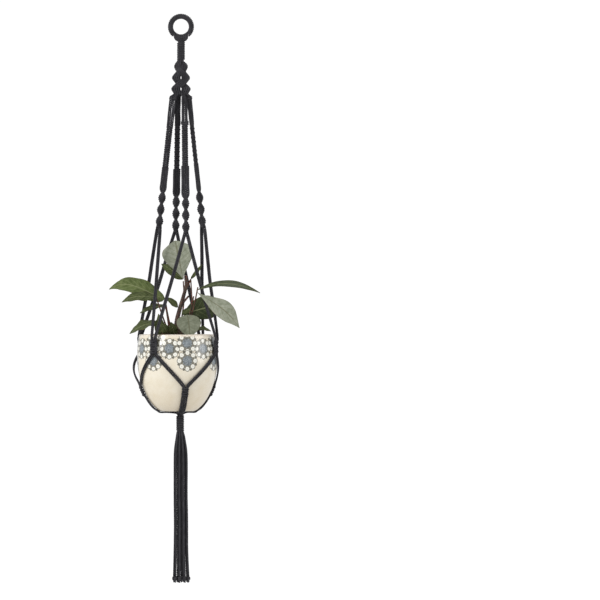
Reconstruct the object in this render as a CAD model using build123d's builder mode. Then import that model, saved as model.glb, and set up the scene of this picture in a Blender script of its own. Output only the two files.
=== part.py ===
"""Hanging macrame planter: a cord-wrapped ring, a four-legged knotted hanger and a potted plant in its cradle.

Millimetres. +Z is up, +X is right and -Y is the front. The origin is the point where a hook bears, on the
underside of the top of the ring, and everything else hangs below it.
"""

import os
from math import asin, cos, degrees, radians, sin, sqrt, tan

from build123d import *

os.makedirs("parts", exist_ok=True)

# Cord. Sixteen strands, four to a leg, run from the ring to the tassel.
cord = 3.2
cord_pitch = 3.45  # centre to centre of strands that lie side by side
fine_gap = 0.1  # between faces that only touch

# Ring
ring_bore_radius = 14.5
ring_tube_radius = 4.8
ring_core_radius = 2.3
ring_radius = ring_bore_radius + ring_tube_radius
ring_centre = -ring_bore_radius
wrap_gap_angle = 88  # the stretch of ring that the head loops cover, about its lowest point
swing_height = ring_centre - ring_radius  # the hanger swings about the ring's lowest stretch

# Head loops and wrapped neck
head_reach = 9.0  # how far the head loops reach from the swing axis
neck_start = 9.4  # how far below the swing axis the neck begins
bundle_radius = 5.0
wrap_radius = 7.2
neck_bottom = -77.5
head_width = 26.0
head_end_radius = 5.4

# Crown: three lobes of a big double knot, with an eye through the lower two
crown_levels = (-77.6, -98.4, -120.2, -142.2)
crown_widths = (23.4, 32.0, 34.5)
crown_pinches = (14.4, 20.0, 26.0, 28.0)
crown_depth = 14.0
crown_pinch_depth = 11.0
crown_eye = (5.0, 8.5)

# Knots
square_knot_size = (12.2, 6.8, 8.2)  # across, thick, along
spiral_step = 3.6
spiral_turn = 30  # degrees from one half knot to the next
spiral_size = (12.6, 5.8)
spiral_knots = 18
knot_rounding = 1.4

# Legs. Each runs straight from the crown to leg_foot: where it starts, its bearing at the foot, the top of its
# square knots and their number, the top of its spiral, and the turn of its flat side at the crown and at the knots.
leg_top = -143.0
leg_foot = -386.0
leg_foot_radius = 41.7
legs = {
    "left": ((-14.5, -1.0), -167, -201.0, 9, -319.5, 50, 10),
    "front": ((6.5, -3.0), -76, -191.0, 10, -330.5, 45, 5),
    "right": ((14.5, 1.0), 15, -194.0, 9, -318.5, 80, 55),
    "back": ((-5.5, 4.0), 105, -195.5, 10, -326.0, 72, 35),
}

# Pot: its outside is one ellipse turned about the pot's axis.
pot_x = -6.5
pot_belly = -621.0
pot_belly_radius = 74.5
pot_curve = (61.0, 108.0)  # half axes of the ellipse, outward and up
pot_rim = -582.0
pot_foot = -723.4
pot_wall = 4.0
pot_floor = 6.0
soil_top = -590.0

# Cradle. Collar knots join neighbouring legs beside the pot, and yoke knots join them again lower down.
collar_top = -592.5
collar_knots = 3
collar_bearings = {"front_left": -122, "front_right": -24, "back_right": 58, "back_left": 153}
drop_gap = 1.2  # from a knot to the ends of the strands that slant away from it
yoke_top = -677.0
yoke_knots = 2
yoke_step_gap = 0.9  # the pot curves in between one yoke knot and the next
yoke_radius = 69.0
clear = 0.6  # from the pot to any knot
cradle_top = -620.7
cradle_bottom = -673.2
cradle_runs = 5
cradle_off = 2.7  # from the pot to the middle of a strand that runs over it
base_off = 2.6
base_heights = (-696.2, -704.5, -711.5, -717.0)
under_pot = pot_foot - clear - cord / 2
under_foot_radius = 35.5
hub_radius = 8.4
hub_rounding = 2.0
hub_gap = 0.6

# Gather and tassel
gather_x = -1.5  # the tassel hangs below the whole hanger's middle, a little to one side of the pot's
gather_top = -731.6
gather_bottom = -762.0
tassel_x = -1.0
tassel_end = -1028.0  # where each strand enters the knot at its end
end_knot_height = 9.5
end_knot_radius = 3.35
# Radius at the tie, where the strands hang and at the end knots, number of strands, and bearing of the first
tassel_rings = ((0.3, 0.4, 0.5, 1, 0), (3.6, 6.0, 7.4, 5, 18), (6.9, 11.8, 14.0, 10, 9))
# Height, share of the way to the hanging radius and then to the end knots, and sway to the right and to the back
tassel_steps = (
    (-768.3, 0.0, 0.0, 0.0, 0.0),
    (-779.0, 0.32, 0.0, 0.1, 0.0),
    (-796.0, 0.9, 0.0, 0.3, 0.2),
    (-826.0, 1.0, 0.0, 0.6, 0.0),
    (-876.0, 0.97, 0.0, 0.2, 0.4),
    (-930.0, 1.0, 0.0, 1.2, 0.1),
    (-985.0, 1.0, 0.1, 0.7, 0.5),
    (-1028.0, 1.0, 1.0, 1.4, 0.3),
)

# Plant
leaf_thickness = 1.4
stem_radius = 2.6
stalk_radius = 1.3
stem_route = ((-5.5, 0, -589.7), (-6.5, 1, -562), (-3, 2, -538), (4, 0, -514), (9.5, -3, -492), (8.5, -4, -476))
# Where each stalk starts, and where its leaf begins
stalks = (
    ((-14, -4, -588.8), (-29, -6.5, -518)),
    ((-18, -10, -588.8), (-44, -23, -517)),
    ((-20, 2, -588.8), (-28.5, 4, -531)),
    ((-24, -6, -588.8), (-39, -11, -563.5)),
    ((4, -12, -588.8), (7.5, -30, -554)),
    ((10, -6, -588.8), (22.5, 0.5, -533)),
    ((16, -14, -588.8), (21.5, -20, -574.5)),
    ((1, -14, -588.8), (24.5, -42, -513)),
    ((7, -19, -588.8), (32.5, -55.5, -496.5)),
    ((14, 6, -588.8), (18, 2, -481)),
    ((-7, 12, -588.8), (-2, 12, -485)),
)
# Each leaf: its base, its tip, its width and the way its face looks
leaves = {
    "top_leaf": (((6, -9, -474), (-3, 6, -408), 56, (0, -1, 0.2)),),
    "left_leaf": (((-30, -7, -516), (-132, -14, -499), 44, (0.1, -1, 0.3)),),
    "left_second_leaf": (((-45, -23.5, -515), (-108, -27, -523), 24, (0, -1, 0.6)),),
    "left_low_leaf": (((-40, -12, -562), (-94, -20, -581), 30, (-0.3, -0.6, 1)),),
    "right_long_leaf": (((34, -57, -496), (147, -84, -504), 32, (0, -0.5, 1)),),
    "right_pale_leaf": (((31, -44, -514), (111, -70, -568), 46, (0, -1, 0.25)),),
    "right_dark_leaf": (((24, 1, -532.5), (82, 8, -538), 24, (0, -0.5, 1)),),
    "front_leaf": (((8, -38, -550), (20, -56, -583), 40, (0.1, -1, 0.6)),),
    "young_leaves": (
        ((-2, 12, -483.5), (-38, 20, -448), 28, (0, -1, 0.3)),
        ((18.5, 2, -479.5), (39, -2, -453), 12, (0.3, -1, 0.2)),
        ((-29, 4.5, -529.5), (-76, 2, -543), 15, (0, -0.8, 1)),
        ((22.5, -20.5, -573), (56, -30, -576), 16, (0, -0.5, 1)),
    ),
}


def bearing(angle):
    """The level unit vector at that bearing, in degrees from +X."""
    return Vector(cos(radians(angle)), sin(radians(angle)), 0)


def beside(angle):
    """The level unit vector at right angles to a bearing."""
    return bearing(angle + 90)


def on_leg(name, height):
    """The point on a leg's line at that height."""
    start, angle = legs[name][:2]
    top = Vector(*start, leg_top)
    foot = bearing(angle) * leg_foot_radius + Vector(0, 0, leg_foot)
    return top + (foot - top) * ((height - leg_top) / (leg_foot - leg_top))


def leg_direction(name):
    """The unit vector up a leg."""
    return (on_leg(name, leg_top) - on_leg(name, leg_foot)).normalized()


def leg_plane(name, height, turn):
    """The plane across a leg at that height, with its x axis turned from +X."""
    up = leg_direction(name)
    flat = bearing(turn) - up * bearing(turn).dot(up)
    return Plane(on_leg(name, height), x_dir=flat.normalized(), z_dir=up)


def pot_point(angle, height, off):
    """The point that stands off the pot's side by that much, and the outward normal there."""
    reach, rise = pot_curve
    share = (height - pot_belly) / rise
    out = sqrt(1 - share * share)
    radius = pot_belly_radius - reach * (1 - out)
    normal = (bearing(angle) * (out * rise) + Vector(0, 0, share * reach)).normalized()
    return Vector(pot_x, 0, height) + bearing(angle) * radius + normal * off, normal


def turn_between(start, end):
    """The turn from one bearing to another, between -180 and 180 degrees."""
    return (end - start + 180) % 360 - 180


def neighbours(angle, places):
    """The two named bearings on either side of a bearing."""
    return [(name, other) for name, other in places.items() if abs(turn_between(angle, other)) < 90]


def tassel_route(radii, angle):
    """A free strand's route: out from the tie, down with a slight sway, and out again to its end knot."""
    points = []
    for height, spread, parted, sway_x, sway_y in tassel_steps:
        radius = radii[0] + (radii[1] - radii[0]) * spread + (radii[2] - radii[1]) * parted
        points.append(Vector(tassel_x + sway_x, sway_y, height) + bearing(angle) * radius)
    return points


def bends(points):
    """The radius of each corner of a route, as large as the two runs beside it allow."""
    radii = []
    for before, corner, after in zip(points, points[1:], points[2:]):
        half_turn = radians((corner - before).get_angle(after - corner)) / 2
        radii.append(0.45 * min((corner - before).length, (after - corner).length) / tan(half_turn))
    return radii


def straight_cords(ends):
    """Straight strands, one for each pair of ends."""
    for start, end in ends:
        with BuildSketch(Plane(start, z_dir=end - start)) as section:
            Circle(cord / 2)
        extrude(section.sketch, amount=(end - start).length)


def bent_cord(points, radius=cord / 2):
    """A strand or stalk along a route of straight runs and tangent arcs."""
    with BuildLine() as route:
        FilletPolyline(*points, radius=bends(points))
    with BuildSketch(Plane(route.line @ 0, z_dir=route.line % 0)) as section:
        Circle(radius)
    sweep(section.sketch, path=route.line)


def row(plane, count=4):
    """Points for strands side by side along a plane's x axis."""
    return [plane.origin + plane.x_dir * (cord_pitch * (i - (count - 1) / 2)) for i in range(count)]


def knots(planes, size):
    """Tied knots, each an oval block that hangs from its plane."""
    across, thick, along = size
    for plane in planes:
        with BuildSketch(plane) as section:
            Ellipse(across / 2, thick / 2)
        extrude(section.sketch, amount=fine_gap - along)


def save(piece, label):
    """Labels a finished piece and writes its file."""
    piece.part.label = label
    export_step(piece.part, f"parts/{label}.step")


# Ring: a steel core with cord wound round it, but for the stretch that the head loops cover.
ring_axis = Axis((0, 0, ring_centre), (0, 1, 0))
wrap_start = bearing(90 + wrap_gap_angle / 2)
wrap_plane = Plane(
    (0, 0, ring_centre),
    x_dir=(wrap_start.X, 0, -wrap_start.Y),
    z_dir=(wrap_start.Y, 0, wrap_start.X),
)

with BuildPart() as ring_core:
    with BuildSketch(wrap_plane):
        with Locations((ring_radius, 0)):
            Circle(ring_core_radius)
    revolve(axis=ring_axis)
save(ring_core, "ring_core")

with BuildPart() as ring_wrap:
    with BuildSketch(wrap_plane):
        with Locations((ring_radius, 0)):
            Circle(ring_tube_radius)
            Circle(ring_core_radius, mode=Mode.SUBTRACT)
    revolve(axis=ring_axis, revolution_arc=360 - wrap_gap_angle)
save(ring_wrap, "ring_wrap")

# Head loops: the folds of eight cords over the ring, as a barrel about the axis that the hanger swings on.
with BuildPart() as head_loops:
    with BuildSketch(Plane((0, 0, swing_height), x_dir=(1, 0, 0), z_dir=(0, -1, 0))):
        with BuildLine():
            Polyline(
                (-head_width / 2, 0),
                (-head_width / 2, head_end_radius),
                (-wrap_radius, head_reach),
                (wrap_radius, head_reach),
                (head_width / 2, head_end_radius),
                (head_width / 2, 0),
                close=True,
            )
        make_face()
    revolve(axis=Axis((0, 0, swing_height), (1, 0, 0)))
    with BuildSketch(Plane((0, 0, ring_centre), x_dir=(1, 0, 0), z_dir=(0, 1, 0))):
        Circle(ring_radius - ring_core_radius - cord)
    extrude(amount=2 * head_reach, both=True, mode=Mode.SUBTRACT)
    add(ring_core.part, mode=Mode.SUBTRACT)
    add(ring_wrap.part, mode=Mode.SUBTRACT)
save(head_loops, "head_loops")

# Neck: the sixteen strands bound together. Its top is hollowed to roll round the head loops.
for label, outer, inner in (("neck_strands", bundle_radius, 0), ("neck_wrap", wrap_radius, bundle_radius)):
    with BuildPart() as neck:
        with BuildSketch(Plane.XY.offset(neck_bottom)):
            Circle(outer)
            if inner:
                Circle(inner, mode=Mode.SUBTRACT)
        extrude(amount=swing_height - neck_bottom)
        with BuildSketch(Plane.YZ):
            with Locations((0, swing_height)):
                Circle(neck_start)
        extrude(amount=2 * wrap_radius, both=True, mode=Mode.SUBTRACT)
    save(neck, label)

# Crown: the lobes of the big knots, each swelling between two pinches.
crown_labels = ("crown_knot_upper", "crown_knot_middle", "crown_knot_lower")
for i, label in enumerate(crown_labels):
    top, bottom = crown_levels[i] - fine_gap / 2, crown_levels[i + 1] + fine_gap / 2
    with BuildPart() as crown_knot:
        for height, width, depth in (
            (top, crown_pinches[i], crown_pinch_depth),
            ((top + bottom) / 2, crown_widths[i], crown_depth),
            (bottom, crown_pinches[i + 1], crown_pinch_depth),
        ):
            with BuildSketch(Plane.XY.offset(height)):
                Ellipse(width / 2, depth / 2)
        loft()
        if i:
            with BuildSketch(Plane((0, 0, (top + bottom) / 2), x_dir=(1, 0, 0), z_dir=(0, 1, 0))):
                Ellipse(crown_eye[0] / 2, crown_eye[1] / 2)
            extrude(amount=crown_depth, both=True, mode=Mode.SUBTRACT)
    save(crown_knot, label)

# Legs: four strands each, tied in flat square knots and then in a spiral of half knots.
for name, (_, _, knots_top, knot_count, spiral_top, crown_turn, knots_turn) in legs.items():
    knots_bottom = knots_top - knot_count * square_knot_size[2]
    with BuildPart() as upper_strands:
        crown_row = row(leg_plane(name, leg_top, crown_turn))
        straight_cords(zip(crown_row, row(leg_plane(name, knots_top + fine_gap, knots_turn))))
    save(upper_strands, f"{name}_upper_strands")

    with BuildPart() as square_knots:
        steps = [knots_top - i * square_knot_size[2] for i in range(knot_count)]
        knots([leg_plane(name, height, knots_turn) for height in steps], square_knot_size)
        fillet(square_knots.edges().filter_by(GeomType.ELLIPSE), knot_rounding)
    save(square_knots, f"{name}_square_knots")

    with BuildPart() as middle_strands:
        upper_row = row(leg_plane(name, knots_bottom - fine_gap, knots_turn))
        straight_cords(zip(upper_row, row(leg_plane(name, spiral_top + fine_gap, knots_turn))))
    save(middle_strands, f"{name}_middle_strands")

    with BuildPart() as spiral:
        planes = [
            leg_plane(name, spiral_top - i * spiral_step, knots_turn + i * spiral_turn)
            for i in range(spiral_knots)
        ]
        knots(planes, (*spiral_size, spiral_step))
    save(spiral, f"{name}_spiral")

# Collar knots stand upright beside the pot, clear of its widest part.
collar_radius = pot_belly_radius + clear + square_knot_size[1] / 2
collar_bottom = collar_top - collar_knots * square_knot_size[2]
for name, angle in collar_bearings.items():
    with BuildPart() as collar:
        planes = [
            Plane(
                Vector(pot_x, 0, collar_top - i * square_knot_size[2]) + bearing(angle) * collar_radius,
                x_dir=beside(angle),
                z_dir=(0, 0, 1),
            )
            for i in range(collar_knots)
        ]
        knots(planes, square_knot_size)
        fillet(collar.edges().filter_by(GeomType.ELLIPSE), knot_rounding)
    save(collar, f"{name}_collar")

# Drop strands: below its spiral each leg parts in two pairs, one to each collar beside it.
for name, (_, angle, _, _, spiral_top, _, _) in legs.items():
    spiral_bottom = spiral_top - spiral_knots * spiral_step
    with BuildPart() as drop_strands:
        for collar_name, collar_angle in neighbours(angle, collar_bearings):
            side = 1 if turn_between(angle, collar_angle) > 0 else -1
            start = on_leg(name, spiral_bottom - drop_gap) + beside(angle) * side * cord_pitch
            end = Vector(pot_x, 0, collar_top + drop_gap) + bearing(collar_angle) * collar_radius
            end -= beside(collar_angle) * side * cord_pitch
            apart = beside(angle + turn_between(angle, collar_angle) / 2) * (cord_pitch / 2)
            straight_cords(((start + apart, end + apart), (start - apart, end - apart)))
    save(drop_strands, f"{name}_drop_strands")

# Yoke knots lie on the pot's lower side, one below each leg.
for name in legs:
    angle = legs[name][1]
    with BuildPart() as yoke:
        height = yoke_top
        for _ in range(yoke_knots):
            place, normal = pot_point(angle, height, clear + square_knot_size[1] / 2)
            up = beside(angle).cross(normal) * -1
            knots([Plane(place, x_dir=beside(angle), z_dir=up)], square_knot_size)
            height -= square_knot_size[2] * up.Z + yoke_step_gap
        fillet(yoke.edges().filter_by(GeomType.ELLIPSE), knot_rounding)
    save(yoke, f"{name}_yoke")

# Cradle strands: below its collar knots each four-strand tie parts again and runs round the pot to two yokes.
for name, angle in collar_bearings.items():
    with BuildPart() as cradle_strands:
        for yoke_angle in (legs[leg_name][1] for leg_name in legs):
            turn = turn_between(angle, yoke_angle)
            if abs(turn) > 90:
                continue
            side = 1 if turn > 0 else -1
            start_angle = angle + side * degrees(cord_pitch / collar_radius)
            end_angle = angle + turn - side * degrees(cord_pitch / yoke_radius)
            for edge in (-1, 1):
                points = []
                for i in range(cradle_runs + 1):
                    share = i / cradle_runs
                    height = cradle_top + (cradle_bottom - cradle_top) * share
                    place, normal = pot_point(
                        start_angle + (end_angle - start_angle) * share, height, cradle_off
                    )
                    along = (
                        beside(start_angle + (end_angle - start_angle) * share)
                        * (radians(end_angle - start_angle) * pot_belly_radius)
                        + Vector(0, 0, cradle_bottom - cradle_top)
                    ).normalized()
                    points.append(place + normal.cross(along) * (edge * cord_pitch / 2))
                bent_cord(points)
    save(cradle_strands, f"{name}_cradle_strands")

# Base strands: from each yoke four strands run on under the pot, to the hub where all sixteen turn down.
with BuildPart() as base_strands:
    for name in legs:
        angle = legs[name][1]
        for i in range(4):
            aside = beside(angle) * (cord_pitch * (i - 1.5))
            points = [pot_point(angle, height, base_off)[0] + aside for height in base_heights]
            points += [
                Vector(pot_x, 0, under_pot) + bearing(angle) * radius + aside
                for radius in (under_foot_radius, hub_radius + hub_gap)
            ]
            bent_cord(points)
save(base_strands, "base_strands")

with BuildPart() as base_hub:
    with BuildSketch(Plane((pot_x, 0, under_pot - cord / 2))):
        Rectangle(*[2 * hub_radius] * 2, rotation=legs["right"][1])
    extrude(amount=cord)
    fillet(base_hub.edges().filter_by(Axis.Z), hub_rounding)
save(base_hub, "base_hub")

# Gather: the strands bound together below the pot. It and the tassel below it both sway.
for label, outer, inner in (("gather_strands", bundle_radius, 0), ("gather_wrap", wrap_radius, bundle_radius)):
    with BuildPart() as gather:
        with BuildSketch(Plane((gather_x, 0, gather_bottom))):
            Circle(outer)
            if inner:
                Circle(inner, mode=Mode.SUBTRACT)
        extrude(amount=gather_top - gather_bottom)
    save(gather, label)

# Tassel: sixteen free strands in rings, each hanging to a knot at its end.
with BuildPart() as tassel_strands:
    for *radii, count, first in tassel_rings:
        for i in range(count):
            bent_cord(tassel_route(radii, first + i * 360 / count))
save(tassel_strands, "tassel_strands")

with BuildPart() as end_knots:
    for *radii, count, first in tassel_rings:
        for i in range(count):
            end = tassel_route(radii, first + i * 360 / count)[-1]
            with BuildSketch(Plane((end.X, end.Y, tassel_end - fine_gap))):
                Circle(end_knot_radius)
            extrude(amount=-end_knot_height)
    fillet(end_knots.edges().filter_by(GeomType.CIRCLE), end_knot_radius / 2)
save(end_knots, "end_knots")

# Pot: a hollow shell with a flat foot, and the soil that fills it to just below the rim.
reach, rise = pot_curve
curve_centre = (pot_belly_radius - reach, pot_belly)
pot_plane = Plane((pot_x, 0, 0), x_dir=(1, 0, 0), z_dir=(0, -1, 0))


def wall_arc(inset, low, high):
    """The pot's side between two heights, that far inside its outer face."""
    first = degrees(asin((low - pot_belly) / (rise - inset)))
    last = degrees(asin((high - pot_belly) / (rise - inset)))
    return EllipticalCenterArc(curve_centre, reach - inset, rise - inset, first, arc_size=last - first)


with BuildPart() as pot:
    with BuildSketch(pot_plane):
        with BuildLine():
            outside = wall_arc(0, pot_foot, pot_rim)
            inside = wall_arc(pot_wall, pot_foot + pot_floor, pot_rim)
            Line(outside @ 1, inside @ 1)
            Polyline(inside @ 0, (0, pot_foot + pot_floor), (0, pot_foot), outside @ 0)
        make_face()
    revolve(axis=Axis((pot_x, 0, 0), (0, 0, 1)))
    fillet(pot.edges().group_by(Axis.Z)[-1], pot_wall / 2 - fine_gap)
save(pot, "pot")

with BuildPart() as soil:
    with BuildSketch(pot_plane):
        with BuildLine():
            side = wall_arc(pot_wall + fine_gap, pot_foot + pot_floor + fine_gap, soil_top)
            Polyline(side @ 1, (0, soil_top), (0, pot_foot + pot_floor + fine_gap), side @ 0)
        make_face()
    revolve(axis=Axis((pot_x, 0, 0), (0, 0, 1)))
save(soil, "soil")

# Plant: a main stem, the stalks of the leaves, and the leaves, each a thin plate with two curved edges.
with BuildPart() as main_stem:
    bent_cord([Vector(*point) for point in stem_route], stem_radius)
save(main_stem, "main_stem")

with BuildPart() as leaf_stalks:
    for start, end in stalks:
        start, end = Vector(*start), Vector(*end)
        with BuildSketch(Plane(start, z_dir=end - start)):
            Circle(stalk_radius)
        extrude(amount=(end - start).length)
save(leaf_stalks, "leaf_stalks")

for label, plates in leaves.items():
    with BuildPart() as leaf:
        for base, tip, width, facing in plates:
            base, tip, facing = Vector(*base), Vector(*tip), Vector(*facing)
            along = (tip - base).normalized()
            flat = (facing - along * facing.dot(along)).normalized()
            length = (tip - base).length
            with BuildSketch(Plane(base, x_dir=along, z_dir=flat)):
                with BuildLine():
                    ThreePointArc((0, 0), (length / 2, width / 2), (length, 0))
                    ThreePointArc((0, 0), (length / 2, -width / 2), (length, 0))
                make_face()
            extrude(amount=leaf_thickness / 2, both=True)
    save(leaf, label)
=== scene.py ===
"""Looks of the hanging macrame planter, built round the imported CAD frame.

Shapes are worked out in millimetres, in the frame that the CAD uses, and become metres when a mesh is made.
"""

from math import atan2, cos, log, pi, radians, sin, sqrt, tau
from random import Random

import bpy
import numpy as np
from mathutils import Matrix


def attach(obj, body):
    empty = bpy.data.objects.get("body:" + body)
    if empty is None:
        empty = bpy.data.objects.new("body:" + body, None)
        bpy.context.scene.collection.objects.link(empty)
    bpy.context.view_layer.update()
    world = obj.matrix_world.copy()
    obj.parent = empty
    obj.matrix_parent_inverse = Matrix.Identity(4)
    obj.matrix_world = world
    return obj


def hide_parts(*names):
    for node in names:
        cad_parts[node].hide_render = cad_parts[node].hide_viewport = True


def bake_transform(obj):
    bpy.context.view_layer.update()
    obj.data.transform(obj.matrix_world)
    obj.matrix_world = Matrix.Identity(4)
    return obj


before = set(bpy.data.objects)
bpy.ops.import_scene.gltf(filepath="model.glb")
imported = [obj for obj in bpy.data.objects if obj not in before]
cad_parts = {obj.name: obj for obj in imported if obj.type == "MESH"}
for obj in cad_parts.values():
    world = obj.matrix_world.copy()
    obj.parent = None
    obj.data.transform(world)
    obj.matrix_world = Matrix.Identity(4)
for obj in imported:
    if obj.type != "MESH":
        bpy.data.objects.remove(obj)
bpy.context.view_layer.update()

MM = 0.001

# ---------------------------------------------------------------- sizes that part.py gives too
CORD = 3.2
PITCH = 3.45  # centre to centre of strands that lie side by side
RING_RADIUS, RING_CENTRE = 19.3, -14.5
SWING_HEIGHT = -33.8
NECK_TOP, NECK_BOTTOM = -43.2, -77.5
LEG_TOP, LEG_FOOT, LEG_FOOT_RADIUS = -143.0, -386.0, 41.7
KNOT = 8.2
SPIRAL_STEP, SPIRAL_TURN, SPIRAL_KNOTS = 3.6, 30, 18
# Where each leg starts, its bearing at the foot, the top of its square knots and their number, the top of its
# spiral, and the turn of its flat side at the knots
LEGS = {
    "left": ((-14.5, -1.0), -167, -201.0, 9, -319.5, 10),
    "front": ((6.5, -3.0), -76, -191.0, 10, -330.5, 5),
    "right": ((14.5, 1.0), 15, -194.0, 9, -318.5, 55),
    "back": ((-5.5, 4.0), 105, -195.5, 10, -326.0, 35),
}
POT_X, POT_BELLY, POT_BELLY_RADIUS = -6.5, -621.0, 74.5
POT_REACH, POT_RISE = 61.0, 108.0  # half axes of the ellipse that the pot's side follows
POT_RIM, POT_FOOT, POT_WALL, POT_FLOOR = -582.0, -723.4, 4.0, 6.0
SOIL_TOP = -590.0
COLLARS = {"front_left": -122, "front_right": -24, "back_right": 58, "back_left": 153}
COLLAR_TOP, COLLAR_KNOTS = -592.5, 3
YOKE_TOP, YOKE_KNOTS = -677.0, 2
BASE_HEIGHTS, BASE_OFF, UNDER_POT = (-696.2, -704.5, -711.5, -717.0), 2.6, -725.6
CRADLE_OFF = 2.7  # from the pot to the middle of a strand that runs over it
GATHER_X, GATHER_TOP, GATHER_BOTTOM = -1.5, -731.6, -762.0
TASSEL_X = -1.0
# Radius at the tie, where the strands hang and at the end knots, number of strands, and bearing of the first
TASSEL_RINGS = ((0.3, 0.4, 0.5, 1, 0), (3.6, 6.0, 7.4, 5, 18), (6.9, 11.8, 14.0, 10, 9))
# Height, share of the way to the hanging radius and then to the end knots, and sway to the right and to the
# back. The first row is the stretch inside the wrapping, where the strands draw together, which is only here.
TASSEL_STEPS = (
    (-757.0, -0.62, 0.0, -0.8, 0.0),
    (-768.3, 0.0, 0.0, 0.0, 0.0),
    (-779.0, 0.32, 0.0, 0.1, 0.0),
    (-796.0, 0.9, 0.0, 0.3, 0.2),
    (-826.0, 1.0, 0.0, 0.6, 0.0),
    (-876.0, 0.97, 0.0, 0.2, 0.4),
    (-930.0, 1.0, 0.0, 1.2, 0.1),
    (-985.0, 1.0, 0.1, 0.7, 0.5),
    (-1028.0, 1.0, 1.0, 1.4, 0.3),
)

# ---------------------------------------------------------------- sizes of the looks alone
WRAP_LINE = 6.0  # from the middle of a bundle to the middle of the cord wound round it
WRAP_PITCH = 3.3
CROWN_TURNS = {"left": -20, "front": 45, "right": -45, "back": 45}  # of each leg's flat side at its top
COLLAR_RADIUS = 78.5
YOKE_OFF = 3.9  # from the pot to the middle of a yoke
CRADLE_TOP, CRADLE_BOTTOM = -618.5, -675.5
CRADLE_START_OFF = 4.0  # from the pot to a strand that has just left its collar


# ---------------------------------------------------------------- node materials
class Nodes:
    """Short ways to build a material's node tree."""

    def __init__(self, name):
        self.material = bpy.data.materials.new(name)
        self.material.use_nodes = True
        self.tree = self.material.node_tree
        self.shader = self.tree.nodes["Principled BSDF"]

    def link(self, source, target):
        if isinstance(source, bpy.types.NodeSocket):
            self.tree.links.new(source, target)
        else:
            target.default_value = source

    def math(self, operation, *values):
        node = self.tree.nodes.new("ShaderNodeMath")
        node.operation = operation
        for value, socket in zip(values, node.inputs):
            self.link(value, socket)
        return node.outputs[0]

    def plus(self, first, second):
        return self.math("ADD", first, second)

    def minus(self, first, second):
        return self.math("SUBTRACT", first, second)

    def times(self, first, second):
        return self.math("MULTIPLY", first, second)

    def length(self, x, y):
        return self.math("SQRT", self.plus(self.times(x, x), self.times(y, y)))

    def coords(self, uv=None):
        if uv:
            node = self.tree.nodes.new("ShaderNodeUVMap")
            node.uv_map = uv
            return node.outputs[0]
        return self.tree.nodes.new("ShaderNodeTexCoord").outputs["Object"]

    def split(self, vector):
        node = self.tree.nodes.new("ShaderNodeSeparateXYZ")
        self.link(vector, node.inputs[0])
        return node.outputs

    def stretch(self, vector, scale):
        node = self.tree.nodes.new("ShaderNodeMapping")
        self.link(vector, node.inputs["Vector"])
        node.inputs["Scale"].default_value = scale
        return node.outputs[0]

    def noise(self, vector, scale, detail=3.0, roughness=0.55):
        node = self.tree.nodes.new("ShaderNodeTexNoise")
        self.link(vector, node.inputs["Vector"])
        node.inputs["Scale"].default_value = scale
        node.inputs["Detail"].default_value = detail
        node.inputs["Roughness"].default_value = roughness
        return node.outputs["Fac"]

    def ramp(self, value, *stops):
        node = self.tree.nodes.new("ShaderNodeValToRGB")
        self.link(value, node.inputs[0])
        elements = node.color_ramp.elements
        while len(elements) < len(stops):
            elements.new(0.5)
        for element, (place, colour) in zip(elements, stops):
            element.position = place
            element.color = (*colour, 1.0)
        return node.outputs[0]

    def mix(self, share, first, second):
        node = self.tree.nodes.new("ShaderNodeMix")
        node.data_type = "RGBA"
        self.link(share, node.inputs[0])
        for value, socket in ((first, node.inputs[6]), (second, node.inputs[7])):
            self.link(value if isinstance(value, bpy.types.NodeSocket) else (*value, 1.0), socket)
        return node.outputs[2]

    def span(self, value, low, high, start=0.0, stop=1.0):
        """The value taken smoothly from one range to another."""
        node = self.tree.nodes.new("ShaderNodeMapRange")
        node.interpolation_type = "SMOOTHSTEP"
        for number, socket in zip((value, low, high, start, stop), node.inputs):
            self.link(number, socket)
        return node.outputs[0]

    def bump(self, height, distance, strength=1.0):
        node = self.tree.nodes.new("ShaderNodeBump")
        self.link(height, node.inputs["Height"])
        node.inputs["Distance"].default_value = distance
        node.inputs["Strength"].default_value = strength
        self.link(node.outputs[0], self.shader.inputs["Normal"])

    def set(self, **values):
        for name, value in values.items():
            self.link(value, self.shader.inputs[name.replace("_", " ")])
        return self.material


def cord_material():
    n = Nodes("black_cord")
    fibres = n.noise(n.stretch(n.coords("cord"), (26.0, 7.0, 1.0)), 1.0, 4.0, 0.65)
    fuzz = n.noise(n.coords(), 1500.0, 2.0)
    patches = n.noise(n.coords(), 90.0, 2.0)
    tone = n.plus(n.times(fibres, 0.62), n.times(patches, 0.38))
    shadow, black, worn = (0.016, 0.016, 0.019), (0.033, 0.032, 0.037), (0.074, 0.072, 0.082)
    n.bump(n.plus(fibres, n.times(fuzz, 0.5)), 0.00035, 0.8)
    return n.set(
        Base_Color=n.ramp(tone, (0.3, shadow), (0.5, black), (0.72, worn)),
        Roughness=n.span(fibres, 0.3, 0.7, 0.72, 0.92),
        Sheen_Weight=0.06,
        Sheen_Roughness=0.45,
        Specular_IOR_Level=0.25,
    )


def steel_material():
    n = Nodes("ring_steel")
    grain = n.noise(n.stretch(n.coords(), (400.0, 4000.0, 400.0)), 1.0, 3.0)
    return n.set(
        Base_Color=n.ramp(grain, (0.3, (0.30, 0.30, 0.31)), (0.7, (0.48, 0.48, 0.49))),
        Metallic=1.0,
        Roughness=n.span(grain, 0.2, 0.8, 0.28, 0.42),
    )


FLOWER_COLUMNS = 14
FLOWER_SPAN = 65.2  # along the pot's side, from one flower to the next in its row
PETALS = 8
DARK_LINE, PETAL_WHITE = (0.085, 0.082, 0.062), (0.86, 0.85, 0.77)
PETAL_EYE, FLOWER_GROUND = (0.45, 0.42, 0.32), (0.36, 0.34, 0.25)


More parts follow.
